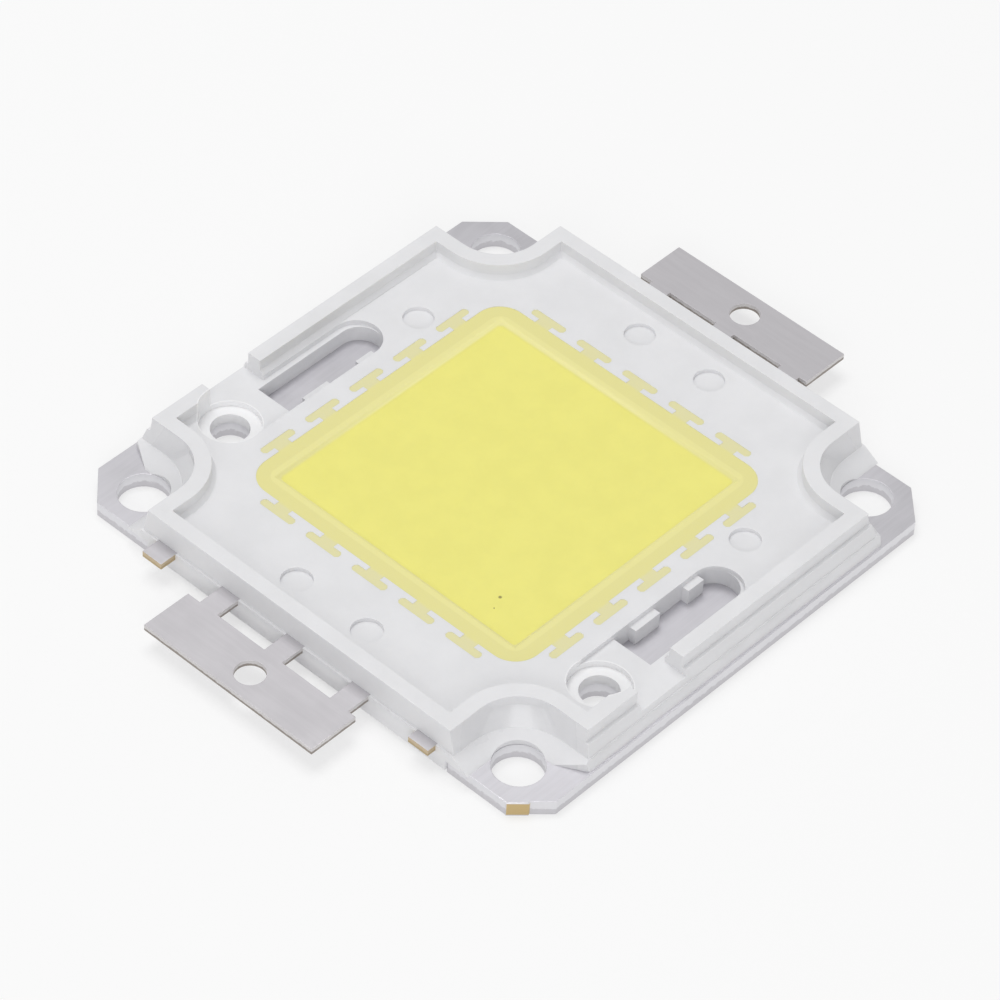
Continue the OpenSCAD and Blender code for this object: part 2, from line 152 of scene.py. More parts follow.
class ModuleColours(bpy.types.PropertyGroup):
    """Colours of the module's materials."""

    moulding: colour_prop("Moulding", "White moulding compound", 0.80, 0.80, 0.815)
    drawn: colour_prop("Drawn", "Draw lines on the moulded cut-outs", 0.66, 0.66, 0.69)
    # Painted light: lighter moulding on the screw holes' walls, standing in for light that
    # reaches into them.
    painted_hole_light: colour_prop("Cored", "Moulding round the screw holes", 0.93, 0.93, 0.94)
    plating: colour_prop("Plating", "Plated copper of the base plate", 0.62, 0.61, 0.64)
    # Upper band of the plate's sheared edge: partly the real burnish, partly a painted highlight.
    plate_shear_and_highlight: colour_prop("Plate shear", "Burnished edge of the plate", 0.86, 0.86, 0.88)
    plate_tear: colour_prop("Plate tear", "Torn edge of the plate", 0.64, 0.63, 0.65)
    strip: colour_prop("Strip", "Plated lead strip", 0.60, 0.585, 0.605)
    # Upper band of the strip's sheared edge: partly the real burnish, partly a painted highlight.
    strip_shear_and_highlight: colour_prop("Strip shear", "Burnished edge of the strip", 0.80, 0.78, 0.76)
    strip_tear: colour_prop("Strip tear", "Torn edge of the strip", 0.30, 0.26, 0.22)
    copper: colour_prop("Copper", "Bare copper on sheared ends", 0.60, 0.46, 0.24)
    phosphor: colour_prop("Phosphor", "Filling over the dice", 0.88, 0.83, 0.225)
    ledge: colour_prop("Ledge", "Thin filling over the ledge", 0.82, 0.77, 0.325)
    # Band at the well's edge: paler thin filling, plus a painted highlight on the slope.
    ridge_and_highlight: colour_prop("Ridge", "Thin filling over the edge of the well", 0.86, 0.81, 0.35)
    tooth: colour_prop("Tooth", "Filling in the anchor teeth", 0.79, 0.75, 0.42)
    speckle: colour_prop("Speckle", "Pale grain in the thin filling", 0.88, 0.84, 0.50)
    speck: colour_prop("Speck", "Dark specks in the filling", 0.20, 0.17, 0.06)
    gold: colour_prop("Gold", "Bond wires", 0.83, 0.62, 0.22)
    sapphire: colour_prop("Sapphire", "Dice", 0.42, 0.55, 0.74)
    floor: colour_prop("Floor", "Studio floor", 0.93, 0.93, 0.93)


class StageSettings(bpy.types.PropertyGroup):
    """Camera and light."""

    lens: bpy.props.FloatProperty(
        name="Lens", description="Focal length on a 36 mm sensor, in millimetres", default=180.24
    )
    distance: length_prop("Distance", "From the camera to the point it aims at", 333.8, 10, 2000)
    aim_x: length_prop("Aim X", "Point that the camera aims at", -1.254, -50)
    aim_y: length_prop("Aim Y", "Point that the camera aims at", -0.531, -50)
    aim_z: length_prop("Aim Z", "Point that the camera aims at", 2.0)
    heading: angle_prop("Heading", "Direction of view, from +Y towards +X", 49.014)
    elevation: angle_prop("Elevation", "Height of the camera over the horizon", 45.069)
    roll: angle_prop("Roll", "Turn of the camera about its line of view", 3.213)
    sky: bpy.props.FloatProperty(
        name="Sky", description="Strength of the even light", default=0.51
    )
    key: bpy.props.FloatProperty(
        name="Key", description="Power of the large lamp overhead", default=0.84, unit="POWER"
    )
    fill: bpy.props.FloatProperty(
        name="Fill", description="Power of the low lamp in front", default=0.6, unit="POWER"
    )


# ---- node helpers ----


class Net:
    """One node tree, with short ways to add the nodes that the module's looks need."""

    def __init__(self, tree):
        self.tree = tree

    def add(self, kind):
        """A new node of a kind."""
        return self.tree.nodes.new(kind)

    def feed(self, slot, value):
        """Gives a slot its value: the socket that drives it, or a plain number or vector."""
        if isinstance(value, bpy.types.NodeSocket):
            self.tree.links.new(value, slot)
        else:
            slot.default_value = value

    def fill(self, node, **values):
        """Feeds a node's slots and returns its outputs; _ stands for a space in a name."""
        for label, value in values.items():
            self.feed(node.inputs[label.replace("_", " ")], value)
        return node.outputs

    def math(self, operation, *values):
        """Arithmetic on sockets or plain numbers; returns its result."""
        node = self.add("ShaderNodeMath")
        node.operation = operation
        for slot, value in zip(node.inputs, values):
            self.feed(slot, value)
        return node.outputs[0]

    def vector(self, operation, *values):
        """Arithmetic on sockets or plain vectors; returns its vector, or LENGTH's number."""
        node = self.add("ShaderNodeVectorMath")
        node.operation = operation
        for slot, value in zip(node.inputs, values):
            self.feed(slot, value)
        return node.outputs["Value" if operation == "LENGTH" else "Vector"]

    def split(self, vector):
        """The X, Y and Z of a vector."""
        return self.fill(self.add("ShaderNodeSeparateXYZ"), Vector=vector)

    def combine(self, x=0.0, y=0.0, z=0.0):
        """A vector made of sockets and plain numbers."""
        return self.fill(self.add("ShaderNodeCombineXYZ"), X=x, Y=y, Z=z)[0]

    def noise(self, vector, scale, detail, roughness):
        """Fractal noise over a position in millimetres; returns its value."""
        node = self.add("ShaderNodeTexNoise")
        return self.fill(
            node, Vector=vector, Scale=scale, Detail=detail, Roughness=roughness
        )["Fac"]

    def ramp(self, value, low, high, to_low=0.0, to_high=1.0):
        """Value between low and high carried smoothly to to_low and to_high."""
        node = self.add("ShaderNodeMapRange")
        node.interpolation_type = "SMOOTHSTEP"
        return self.fill(
            node, Value=value, From_Min=low, From_Max=high, To_Min=to_low, To_Max=to_high
        )["Result"]

    def blend(self, mask, first, second):
        """Colour between first and second by a mask; each is a socket or three numbers."""
        node = self.add("ShaderNodeMix")
        node.data_type = "RGBA"
        self.fill(node, Factor=mask)
        for label, colour in (("A", first), ("B", second)):
            slot = next(s for s in node.inputs if s.name == label and s.type == "RGBA")
            if not isinstance(colour, bpy.types.NodeSocket):
                colour = (*colour, 1.0)
            self.feed(slot, colour)
        return next(s for s in node.outputs if s.type == "RGBA")

    def group(self, maker, **values):
        """The shared group of a maker, fed with values; returns its outputs."""
        node = self.add("ShaderNodeGroup")
        node.node_tree = built(maker)
        return self.fill(node, **values)


BUILT = {}


def built(maker):
    """What a maker makes, built the first time that it is asked for."""
    if maker not in BUILT:
        BUILT[maker] = maker()
    return BUILT[maker]


def new_group(name, kind, inputs, outputs):
    """A node group with named sockets, each given as (name, type, default or None).

    Returns its net, the sockets that bring its inputs and the slots that take its outputs.
    """
    tree = bpy.data.node_groups.new(name, kind)
    for direction, sockets in (("INPUT", inputs), ("OUTPUT", outputs)):
        for label, socket_type, default in sockets:
            socket = tree.interface.new_socket(
                name=label, in_out=direction, socket_type=socket_type
            )
            if default is not None:
                socket.default_value = default
    net = Net(tree)
    return net, net.add("NodeGroupInput").outputs, net.add("NodeGroupOutput").inputs


# ---- shared shader groups ----


def make_spark_grain():
    """Fine spark-eroded mould texture: a height, and soft blotches of tone."""
    net, get, give = new_group(
        "Spark Grain",
        "ShaderNodeTree",
        [("Position", "NodeSocketVector", None), ("Grain Size", "NodeSocketFloat", 7.0),
         ("Blotch Size", "NodeSocketFloat", 0.35)],
        [("Height", "NodeSocketFloat", None), ("Blotch", "NodeSocketFloat", None)],
    )
    net.feed(give["Height"], net.noise(get["Position"], get["Grain Size"], 2.0, 0.6))
    net.feed(give["Blotch"], net.noise(get["Position"], get["Blotch Size"], 4.0, 0.6))
    return net.tree


def make_rolled_grain():
    """Fine lines of rolled strip along one direction: a height, a streak and a cloud of tone."""
    net, get, give = new_group(
        "Rolled Grain",
        "ShaderNodeTree",
        [("Position", "NodeSocketVector", None), ("Stretch", "NodeSocketVector", (1, 1, 1)),
         ("Cloud Size", "NodeSocketFloat", 0.5)],
        [("Height", "NodeSocketFloat", None), ("Streak", "NodeSocketFloat", None),
         ("Cloud", "NodeSocketFloat", None)],
    )
    drawn = net.vector("MULTIPLY", get["Position"], get["Stretch"])
    net.feed(give["Height"], net.noise(drawn, 3.0, 4.0, 0.7))
    net.feed(give["Streak"], net.noise(drawn, 0.8, 3.0, 0.6))
    net.feed(give["Cloud"], net.noise(get["Position"], get["Cloud Size"], 3.0, 0.55))
    return net.tree


def make_square_field():
    """1 inside a square with round corners about the middle, and 0 outside it."""
    net, get, give = new_group(
        "Square Field",
        "ShaderNodeTree",
        [("Position", "NodeSocketVector", None), ("Half Size", "NodeSocketFloat", 10.0),
         ("Corner", "NodeSocketFloat", 1.0), ("Softness", "NodeSocketFloat", 0.1)],
        [("Inside", "NodeSocketFloat", None)],
    )
    place = net.split(get["Position"])
    straight = net.math("SUBTRACT", get["Half Size"], get["Corner"])
    past = [
        net.math("SUBTRACT", net.math("ABSOLUTE", place[axis]), straight) for axis in ("X", "Y")
    ]
    squares = [net.math("POWER", net.math("MAXIMUM", p, 0.0), 2.0) for p in past]
    outside = net.math("SQRT", net.math("ADD", *squares))
    inside = net.math("MINIMUM", net.math("MAXIMUM", *past), 0.0)
    distance = net.math("SUBTRACT", net.math("ADD", outside, inside), get["Corner"])
    half = net.math("MULTIPLY", get["Softness"], 0.5)
    low = net.math("MULTIPLY", half, -1.0)
    net.feed(give["Inside"], net.ramp(distance, low, half, 1.0, 0.0))
    return net.tree


def make_sheared_edge():
    """Bands of a sheared strip edge by height: burnish with a painted highlight above, torn
    below.
    """
    net, get, give = new_group(
        "Sheared Edge",
        "ShaderNodeTree",
        [("Position", "NodeSocketVector", None), ("Normal", "NodeSocketVector", None),
         ("Bottom", "NodeSocketFloat", 0.0), ("Top", "NodeSocketFloat", 1.0)],
        [("Side", "NodeSocketFloat", None), ("Torn", "NodeSocketFloat", None)],
    )
    upright = net.math("ABSOLUTE", net.split(get["Normal"])["Z"])
    side = net.ramp(upright, 0.35, 0.75, 1.0, 0.0)
    waver = net.noise(get["Position"], 2.2, 3.0, 0.6)
    height = net.math("SUBTRACT", net.split(get["Position"])["Z"], get["Bottom"])
    thickness = net.math("SUBTRACT", get["Top"], get["Bottom"])
    share = net.math("DIVIDE", height, thickness)
    share = net.math("ADD", share, net.math("MULTIPLY_ADD", waver, 0.5, -0.25))
    torn = net.ramp(share, 0.38, 0.5, 1.0, 0.0)
    net.feed(give["Side"], side)
    net.feed(give["Torn"], net.math("MULTIPLY", torn, side))
    return net.tree


# ---- materials ----


def new_material(name):
    """An empty material: returns it, its net, its Principled node and the position in mm."""
    material = bpy.data.materials.new(name)
    material.use_nodes = True
    material.node_tree.nodes.clear()
    net = Net(material.node_tree)
    shader = net.add("ShaderNodeBsdfPrincipled")
    net.fill(net.add("ShaderNodeOutputMaterial"), Surface=shader.outputs["BSDF"])
    place = net.add("ShaderNodeTexCoord").outputs["Object"]
    return material, net, shader, net.vector("MULTIPLY", place, (1 / MM, 1 / MM, 1 / MM))


def toned(colour, share):
    """A colour made darker or lighter by a share, up to full light."""
    return [min(1.0, channel * share) for channel in colour]


def add_bump(net, shader, height, strength, distance):
    """Lifts the shader's normal by a height map, by up to a distance in millimetres."""
    bump = net.fill(
        net.add("ShaderNodeBump"), Height=height, Strength=strength, Distance=distance * MM
    )
    net.fill(shader, Normal=bump["Normal"])


def surface_normal(net):
    """The surface's own normal, which for a piece at the origin is in the part's frame."""
    return net.add("ShaderNodeTexCoord").outputs["Normal"]


def near_axis(net, place, centre, close, far):
    """1 nearer than close to upright axes and 0 beyond far, in millimetres.

    The axes stand at centre and at its mirror images, along each axis where it is positive.
    """
    axes = net.split(place)
    squares = []
    for axis, middle in (("X", centre[0]), ("Y", centre[1])):
        size = net.math("ABSOLUTE", axes[axis]) if middle > 0 else axes[axis]
        squares.append(net.math("POWER", net.math("SUBTRACT", size, middle), 2.0))
    reach = net.math("SQRT", net.math("ADD", *squares))
    return net.ramp(reach, close, far, 1.0, 0.0)


def sheared_edges(net, place, node, colour, burnish_and_highlight, torn):
    """A colour with the two bands of the node's sheared edges, each (colour, strength); the upper
    is burnish with a painted highlight.

    Returns it and the mask of the sides.
    """
    low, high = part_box(node)
    edge = net.group(
        make_sheared_edge, Position=place, Normal=surface_normal(net),
        Bottom=low.z / MM, Top=high.z / MM,
    )
    # The upper band of each side is burnish with a painted highlight; the lower is the torn edge.
    bright = net.math("SUBTRACT", edge["Side"], edge["Torn"])
    for band, (band_colour, strength) in ((bright, burnish_and_highlight), (edge["Torn"], torn)):
        colour = net.blend(net.math("MULTIPLY", band, strength), colour, band_colour)
    return colour, edge["Side"]


def moulding_material(colours):
    """White moulding compound: matt, draw lines and gloss on the corner cut-outs, painted light
    in the screw holes.
    """
    material, net, shader, place = new_material("white_moulding")
    grain = net.group(make_spark_grain, Position=place, Grain_Size=6.5, Blotch_Size=0.3)
    base = colours.moulding
    tone = net.ramp(grain["Blotch"], 0.3, 0.7)
    colour = net.blend(tone, toned(base, 0.975), toned(base, 1.015))
    near = near_axis(net, place, corner_hole_centre(), 3.6, 4.2)
    # Mask of the screw holes' walls, where light is painted into the colour and the gloss is
    # higher.
    painted_hole_light = near_axis(net, place, screw_hole_centre(), 2.25, 2.3)
    steep = net.ramp(net.split(surface_normal(net))["Z"], 0.8, 0.95, 1.0, 0.0)
    polished = net.math("MULTIPLY", near, steep)
    lines = net.noise(net.vector("MULTIPLY", place, (0.25, 0.25, 7.0)), 1.3, 3.0, 0.7)
    drawn = net.math("MULTIPLY", polished, lines)
    colour = net.blend(net.math("MULTIPLY", drawn, 0.12), colour, colours.drawn)
    # Painted light: the screw holes' walls are made lighter than the rest of the moulding.
    colour = net.blend(painted_hole_light, colour, colours.painted_hole_light)
    matt = net.ramp(grain["Blotch"], 0.2, 0.8, 0.42, 0.52)
    gloss = net.math("MULTIPLY", net.math("MAXIMUM", polished, painted_hole_light), 0.24)
    net.fill(
        shader, Base_Color=colour, Roughness=net.math("SUBTRACT", matt, gloss),
        Specular_IOR_Level=0.5, Subsurface_Weight=0.12, Subsurface_Radius=(1.0, 0.95, 0.9),
        Subsurface_Scale=0.5 * MM,
    )
    add_bump(net, shader, net.math("MULTIPLY_ADD", drawn, 1.6, grain["Height"]), 0.35, 0.012)
    return material


def plating_material(colours):
    """Plated copper plate: rolled satin, clouded, with bare copper on the sheared end."""
    material, net, shader, place = new_material("plated_copper")
    grain = net.group(
        make_rolled_grain, Position=place, Stretch=(0.25, 4.0, 1.0), Cloud_Size=0.22
    )
    base = colours.plating
    tone = net.ramp(grain["Streak"], 0.3, 0.7)
    colour = net.blend(tone, toned(base, 0.97), toned(base, 1.03))
    cloud = net.ramp(grain["Cloud"], 0.35, 0.75, 0.0, 0.35)
    colour = net.blend(cloud, colour, toned(base, 1.16))
    # Sheared edges of the plate: burnish with a painted highlight above, the torn band below.
    colour, _ = sheared_edges(net, place, "base_plate", colour, (colours.plate_shear_and_highlight, 0.6),
                              (colours.plate_tear, 0.5))
    colour = net.blend(sheared_end_mask(net, place), colour, colours.copper)
    roughness = net.ramp(grain["Cloud"], 0.25, 0.75, 0.44, 0.54)
    net.fill(shader, Base_Color=colour, Metallic=1.0, Roughness=roughness)
    add_bump(net, shader, grain["Height"], 0.2, 0.003)
    return material


def sheared_end_mask(net, place):
    """1 on the sheared tie-bar end of the plate, and 0 elsewhere."""
    low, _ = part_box("base_plate")
    box = net.add("ShaderNodeMapping")
    box.vector_type = "TEXTURE"
    turned = net.fill(
        box, Vector=place, Location=low / MM + Vector(SHEARED_END_PLACE),
        Rotation=(0, 0, SHEARED_END_TURN), Scale=SHEARED_END_HALF,
    )
    axes = net.split(turned["Vector"])
    far = 0.0
    for axis in ("X", "Y", "Z"):
        far = net.math("MAXIMUM", far, net.math("ABSOLUTE", axes[axis]))
    return net.ramp(far, 0.97, 1.05, 1.0, 0.0)


def strip_material(colours):
    """Plated lead strip: satin rolled faces, sheared edges with burnish and a painted highlight
    above a torn band, bare cut ends.
    """
    material, net, shader, place = new_material("lead_strip")
    grain = net.group(
        make_rolled_grain, Position=place, Stretch=(4.0, 0.3, 1.0), Cloud_Size=0.35
    )
    tone = net.ramp(grain["Streak"], 0.3, 0.7)
    colour = net.blend(tone, toned(colours.strip, 0.98), toned(colours.strip, 1.02))
    colour, side = sheared_edges(net, place, "lead_positive", colour,
                                 (colours.strip_shear_and_highlight, 0.5), (colours.strip_tear, 0.8))
    out = net.math("ABSOLUTE", net.split(place)["Y"])
    bars = net.ramp(out, TIE_BARS_FROM, TIE_BARS_FROM + 0.2)
    cut = net.math("MULTIPLY", bars, side)
    colour = net.blend(net.math("MULTIPLY", cut, 0.7), colour, colours.copper)
    roughness = net.ramp(grain["Cloud"], 0.25, 0.75, 0.55, 0.63)
    net.fill(shader, Base_Color=colour, Metallic=1.0, Roughness=roughness)
    add_bump(net, shader, grain["Height"], 0.2, 0.002)
    return material


def filling_material(colours):
    """Phosphor in silicone: deep over the dice, thin and paler over the ledge and the teeth, with
    a painted highlight at the well's edge.
    """
    material, net, shader, place = new_material("phosphor_silicone")
    deep, ridge_and_highlight, ledge = (
        net.group(make_square_field, Position=place, Half_Size=half, Corner=corner,
                  Softness=soft)["Inside"]
        for half, corner, soft in (DEEP_ZONE, RIDGE_AND_HIGHLIGHT_ZONE, LEDGE_ZONE)
    )
    grain = net.group(make_spark_grain, Position=place, Grain_Size=9.0, Blotch_Size=0.5)
    colour = net.blend(ledge, colours.tooth, colours.ledge)
    speckle = net.ramp(net.noise(place, 14.0, 2.0, 0.8), 0.62, 0.78, 0.0, 0.35)
    colour = net.blend(speckle, colour, colours.speckle)
    # Band at the well's edge: paler thin filling and a painted highlight on its slope.
    colour = net.blend(ridge_and_highlight, colour, colours.ridge_and_highlight)
    cloud = net.ramp(grain["Blotch"], 0.3, 0.7)
    phosphor = net.blend(cloud, toned(colours.phosphor, 0.985), toned(colours.phosphor, 1.015))
    colour = net.blend(deep, colour, phosphor)
    for spot, size in SPECKS:
        away = net.vector("SUBTRACT", place, (*spot, 0.0))
        distance = net.vector("LENGTH", net.vector("MULTIPLY", away, (1, 1, 0)))
        mark = net.ramp(distance, size * 0.6, size * 1.2, 0.8, 0.0)
        colour = net.blend(mark, colour, colours.speck)
    net.fill(
        shader, Base_Color=colour, Roughness=net.ramp(grain["Blotch"], 0.2, 0.8, 0.38, 0.5),
        Specular_IOR_Level=0.35, Subsurface_Weight=0.1, Subsurface_Radius=(1.0, 0.9, 0.4),
        Subsurface_Scale=0.4 * MM,
    )
    add_bump(net, shader, grain["Height"], 0.2, 0.01)
    return material


def die_material(colours):
    """Sapphire dice with a faint film of colour."""
    material, net, shader, place = new_material("led_die")
    cloud = net.noise(place, 3.0, 3.0, 0.6)
    net.fill(
        shader,
        Base_Color=net.blend(cloud, toned(colours.sapphire, 0.85), toned(colours.sapphire, 1.15)),
        Roughness=net.ramp(cloud, 0.3, 0.7, 0.12, 0.25), Coat_Weight=0.5,
    )
    return material


def gold_material(colours):
    """Drawn gold of the bond wires."""
    material, net, shader, place = new_material("gold_wire")
    fine = net.noise(place, 12.0, 2.0, 0.5)
    net.fill(
        shader, Base_Color=net.blend(fine, toned(colours.gold, 0.9), toned(colours.gold, 1.1)),
        Metallic=1.0, Roughness=net.ramp(fine, 0.3, 0.7, 0.18, 0.3),
    )
    return material


def floor_material(colours):
    """Pale studio floor that looks white to the camera and keeps a faint shadow."""
    material, net, shader, place = new_material("studio_floor")
    cloud = net.noise(place, 0.01, 2.0, 0.5)
    net.fill(
        shader, Base_Color=net.blend(cloud, toned(colours.floor, 0.99), colours.floor),
        Roughness=0.9, Specular_IOR_Level=0.1,
    )
    ray = net.add("ShaderNodeLightPath").outputs
    seen = net.math("MAXIMUM", ray["Is Camera Ray"], ray["Is Glossy Ray"])
    seen = net.math("MAXIMUM", seen, ray["Is Transmission Ray"])
    glow = net.fill(net.add("ShaderNodeEmission"), Color=(1, 1, 1, 1), Strength=1.0)
    mix = net.add("ShaderNodeMixShader")
    parts = (net.math("MULTIPLY", seen, 0.6), shader.outputs["BSDF"], glow["Emission"])
    for slot, value in zip(mix.inputs, parts):
        net.feed(slot, value)
    output = next(n for n in net.tree.nodes if n.type == "OUTPUT_MATERIAL")
    net.fill(output, Surface=mix.outputs[0])
    return material


MATERIALS = {}


def material_for(slot):
    """The material of a slot in the record, built the first time that it is asked for."""
    makers = {
        "white_moulding": moulding_material,
        "plated_copper": plating_material,
        "lead_strip": strip_material,
        "phosphor_silicone": filling_material,
        "led_die": die_material,
        "gold_wire": gold_material,
    }
    if slot not in MATERIALS:
        MATERIALS[slot] = makers[slot](bpy.context.scene.led_colours)
    return MATERIALS[slot]


# ---- object and mesh helpers ----


def mount_of(name):
    """The record's mount of that name."""
    return next(mount for mount in frame["record"]["mounts"] if mount["name"] == name)


def corner_hole_centre():
    """Centre of the +X +Y corner hole, in millimetres, from the record's mount."""
    dims = mount_of("corner_holes")["dims"]
    return dims["spacing_x_mm"] / 2, dims["spacing_y_mm"] / 2


def screw_hole_centre():
    """Centre of the +Y screw hole, in millimetres, from the record's mount."""
    mount = mount_of("centre_screw_holes")
    return mount["pos_m"][0] / MM, mount["dims"]["spacing_y_mm"] / 2


def new_object(name, data):
    """An object with its data, in the scene."""
    made = bpy.data.objects.new(name, data)
    bpy.context.scene.collection.objects.link(made)
    return made


def clean_copy(node, name):
    """A welded copy of a CAD node with its flat faces made whole."""
    mesh = frame["nodes"][node].data.copy()
    mesh.name = name
    mesh.materials.clear()
    bm = bmesh.new()
    bm.from_mesh(mesh)
    bmesh.ops.remove_doubles(bm, verts=bm.verts, dist=WELD)
    bmesh.ops.dissolve_limit(
        bm, angle_limit=FLAT_BELOW, verts=bm.verts, edges=bm.edges, delimit=set()
    )
    bm.to_mesh(mesh)
    bm.free()
    return new_object(name, mesh)


def soften(piece, radius, choose=None, segments=2):
    """Rounds the sharp edges that choose accepts, or all of them, by a small radius."""
    bm = bmesh.new()
    bm.from_mesh(piece.data)
    sharp = [
        e for e in bm.edges
        if len(e.link_faces) == 2
        and e.calc_face_angle(0.0) > SMOOTH_BELOW
        and (choose is None or choose(e))
    ]
    bmesh.ops.bevel(
        bm, geom=sharp, offset=radius, offset_type="OFFSET", segments=segments, profile=0.6,
        affect="EDGES", clamp_overlap=False, miter_outer="ARC",
    )
    bm.to_mesh(piece.data)
    bm.free()


def shade(piece, sharp_above=40):
    """Smooth shading up to an angle in degrees that keeps flat faces flat."""
    imported = piece.data.attributes.get("custom_normal")
    if imported:
        piece.data.attributes.remove(imported)
    bm = bmesh.new()
    bm.from_mesh(piece.data)
    for face in bm.faces:
        face.smooth = True
    for edge in bm.edges:
        edge.smooth = (
            len(edge.link_faces) == 2
            and edge.calc_face_angle(0.0) < math.radians(sharp_above)
        )
    bm.to_mesh(piece.data)
    bm.free()
    weighted = piece.modifiers.new("Flat faces", "WEIGHTED_NORMAL")
    weighted.keep_sharp = True
    weighted.weight = 100
    bake_modifiers(piece)


def bake_modifiers(piece):
    """Turns the piece with its modifiers into a plain mesh."""
    bpy.context.view_layer.update()
    graph = bpy.context.evaluated_depsgraph_get()
    mesh = bpy.data.meshes.new_from_object(
        piece.evaluated_get(graph), preserve_all_data_layers=True, depsgraph=graph
    )
    mesh.name = piece.name
    piece.modifiers.clear()
    piece.data = mesh


def dress(piece, slot, *nodes):
    """Gives the piece its material and lets it stand for its CAD nodes."""
    piece.data.materials.clear()
    piece.data.materials.append(material_for(slot))
    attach(piece, "root")
    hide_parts(*nodes)


# ---- geometry trees ----


def geometry_tree(name, inputs):
    """A Geometry Nodes group with the given sockets and a Material socket."""
    geometry = ("Geometry", "NodeSocketGeometry", None)
    material = ("Material", "NodeSocketMaterial", None)
    return new_group(name, "GeometryNodeTree", [geometry, *inputs, material], [geometry])


def finish_tree(net, get, give, geometry):
    """Ends a tree in Realize Instances and Set Material; returns the tree."""
    whole = net.fill(net.add("GeometryNodeRealizeInstances"), Geometry=geometry)
    painted = net.fill(
        net.add("GeometryNodeSetMaterial"), Geometry=whole["Geometry"], Material=get["Material"]
    )
    net.feed(give["Geometry"], painted["Geometry"])
    return net.tree


def row_of_points(net, count, start, step):
    """Points in a line: count of them, from start, a step apart."""
    line = net.add("GeometryNodeMeshLine")
    return net.fill(line, Count=count, Start_Location=start, Offset=step)["Mesh"]


def row_span(net, get):
    """Distance between the middles of a row's first and last die."""
    return net.math("MULTIPLY", net.math("SUBTRACT", get["Dice"], 1.0), get["Pitch"])


def wire_loop(net, begin, crest, end):
    """An arched curve from begin to end, drawn towards crest."""
    curve = net.add("GeometryNodeCurveQuadraticBezier")
    return net.fill(curve, Resolution=12, Start=begin, Middle=crest, End=end)["Curve"]


def make_wire_row():
    """Round wire loops from die to die along a row, and one from each end to its bond bar."""
    net, get, give = geometry_tree("Wire Row", [
        ("Dice", "NodeSocketInt", DICE), ("Pitch", "NodeSocketFloat", 0.002),
        ("Row Y", "NodeSocketFloat", 0.0), ("Die Top", "NodeSocketFloat", 0.001),
        ("Pad Reach", "NodeSocketFloat", 0.0003), ("Rise", "NodeSocketFloat", 0.0003),
        ("Wire", "NodeSocketFloat", 0.00005), ("Bar X", "NodeSocketFloat", 0.01),
        ("Bar Top", "NodeSocketFloat", 0.002),
    ])
    half_span = net.math("MULTIPLY", row_span(net, get), 0.5)
    points = row_of_points(
        net,
        net.math("SUBTRACT", get["Dice"], 1.0),
        net.combine(net.math("MULTIPLY", half_span, -1.0), get["Row Y"], get["Die Top"]),
        net.combine(get["Pitch"]),
    )
    between = wire_loop(
        net,
        net.combine(get["Pad Reach"]),
        net.combine(net.math("MULTIPLY", get["Pitch"], 0.5), 0.0,
                    net.math("MULTIPLY", get["Rise"], 2.0)),
        net.combine(net.math("SUBTRACT", get["Pitch"], get["Pad Reach"])),
    )
    repeat = net.fill(net.add("GeometryNodeInstanceOnPoints"), Points=points, Instance=between)
    curves = net.add("GeometryNodeJoinGeometry")
    net.fill(curves, Geometry=repeat["Instances"])
    crest = net.math("ADD", get["Bar Top"], get["Rise"])
    for side in (1.0, -1.0):
        inner = net.math("MULTIPLY", net.math("ADD", half_span, get["Pad Reach"]), side)
        outer = net.math("MULTIPLY", get["Bar X"], side)
        middle = net.math("MULTIPLY", net.math("ADD", inner, outer), 0.5)
        last = wire_loop(
            net,
            net.combine(inner, get["Row Y"], get["Die Top"]),
            net.combine(middle, get["Row Y"], crest),
            net.combine(outer, get["Row Y"], get["Bar Top"]),
        )
        net.fill(curves, Geometry=last)
    whole = net.fill(net.add("GeometryNodeRealizeInstances"), Geometry=curves.outputs[0])
    circle = net.fill(
        net.add("GeometryNodeCurvePrimitiveCircle"),
        Resolution=8, Radius=net.math("MULTIPLY", get["Wire"], 0.5),
    )
    tube = net.fill(
        net.add("GeometryNodeCurveToMesh"),
        Curve=whole["Geometry"], Profile_Curve=circle["Curve"], Fill_Caps=True,
    )
    return finish_tree(net, get, give, tube["Mesh"])


def make_die_row():
    """Square dice along a row, each with two round bond pads on top."""
    net, get, give = geometry_tree("Die Row", [
        ("Dice", "NodeSocketInt", DICE), ("Pitch", "NodeSocketFloat", 0.002),
        ("Row Y", "NodeSocketFloat", 0.0), ("Bottom", "NodeSocketFloat", 0.001),
        ("Width", "NodeSocketFloat", 0.001), ("Thickness", "NodeSocketFloat", 0.00015),
        ("Pad", "NodeSocketFloat", 0.00014),
    ])
    first = net.math("MULTIPLY", row_span(net, get), -0.5)
    points = row_of_points(
        net, get["Dice"], net.combine(first, get["Row Y"], get["Bottom"]),
        net.combine(get["Pitch"]),
    )
    size = net.combine(get["Width"], get["Width"], get["Thickness"])
    block = net.fill(net.add("GeometryNodeMeshCube"), Size=size)
    whole = net.add("GeometryNodeJoinGeometry")

    def put(mesh, x, z):
        """Adds a mesh to the die, moved to its place."""
        moved = net.fill(
            net.add("GeometryNodeTransform"), Geometry=mesh, Translation=net.combine(x, 0.0, z)
        )
        net.fill(whole, Geometry=moved["Geometry"])

    put(block["Mesh"], 0.0, net.math("MULTIPLY", get["Thickness"], 0.5))
    for side in (PAD_OUT, -PAD_OUT):
        pad = net.fill(
            net.add("GeometryNodeMeshCylinder"),
            Vertices=12, Depth=PAD_HEIGHT, Radius=net.math("MULTIPLY", get["Pad"], 0.5),
        )
        put(pad["Mesh"], net.math("MULTIPLY", get["Width"], side), get["Thickness"])
    repeat = net.fill(
        net.add("GeometryNodeInstanceOnPoints"), Points=points, Instance=whole.outputs[0]
    )
    return finish_tree(net, get, give, repeat["Instances"])


